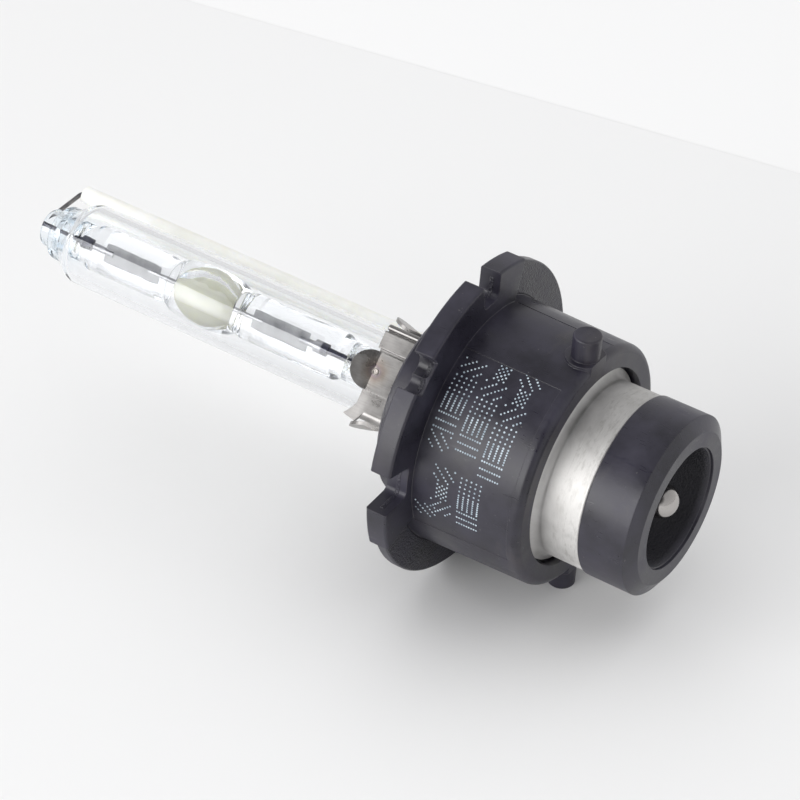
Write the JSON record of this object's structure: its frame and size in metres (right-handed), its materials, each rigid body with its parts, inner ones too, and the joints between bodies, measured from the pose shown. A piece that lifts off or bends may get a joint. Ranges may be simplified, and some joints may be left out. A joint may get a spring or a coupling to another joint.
{
  "type": "headlight bulb",
  "caption": "Gas-discharge headlight bulb: a clear double glass tube with a ceramic-sleeved return wire on a black plastic bayonet base with a steel contact ring.",
  "frame": {"origin": "on the bulb's axis, in the plane of the base's front collar, which is the reference plane", "axes": "+X along the axis from the glass towards the rear contact, +Z through one bayonet pin"},
  "size_m": [0.0773, 0.0336, 0.0336],
  "materials": {
    "quartz_glass": "clear, fire polished",
    "bulb_glass": "clear, fire polished",
    "tungsten": "drawn wire",
    "molybdenum_foil": "etched foil",
    "molybdenum_lead": "dark oxide",
    "halide_salt": "pale yellow crystalline skin",
    "mercury": "liquid metal",
    "nickel_wire": "drawn wire",
    "alumina": "unglazed ceramic",
    "holder_steel": "rolled strip with heat tint at the welds",
    "base_plastic": "moulded, fine grain",
    "nose_plastic": "moulded, fine grain",
    "insulator_plastic": "moulded",
    "ring_steel": "satin, turned",
    "contact_metal": "polished"
  },
  "bodies": {
    "root": {"outer_bulb": "bulb_glass", "arc_tube": "quartz_glass", "tip_electrode": "tungsten", "base_electrode": "tungsten", "tip_foil": "molybdenum_foil", "base_foil": "molybdenum_foil", "tip_lead": "molybdenum_lead", "base_lead": "molybdenum_lead", "salt_deposit": "halide_salt", "mercury_bead": "mercury", "return_wire": "nickel_wire", "ceramic_sleeve": "alumina", "clamp_band": "holder_steel", "holder_ring": "holder_steel", "base_housing": "base_plastic", "contact_ring": "ring_steel", "nose_insulator": "nose_plastic", "centre_contact": "contact_metal", "hv_insulator": "insulator_plastic"}
  },
  "joints": []
}
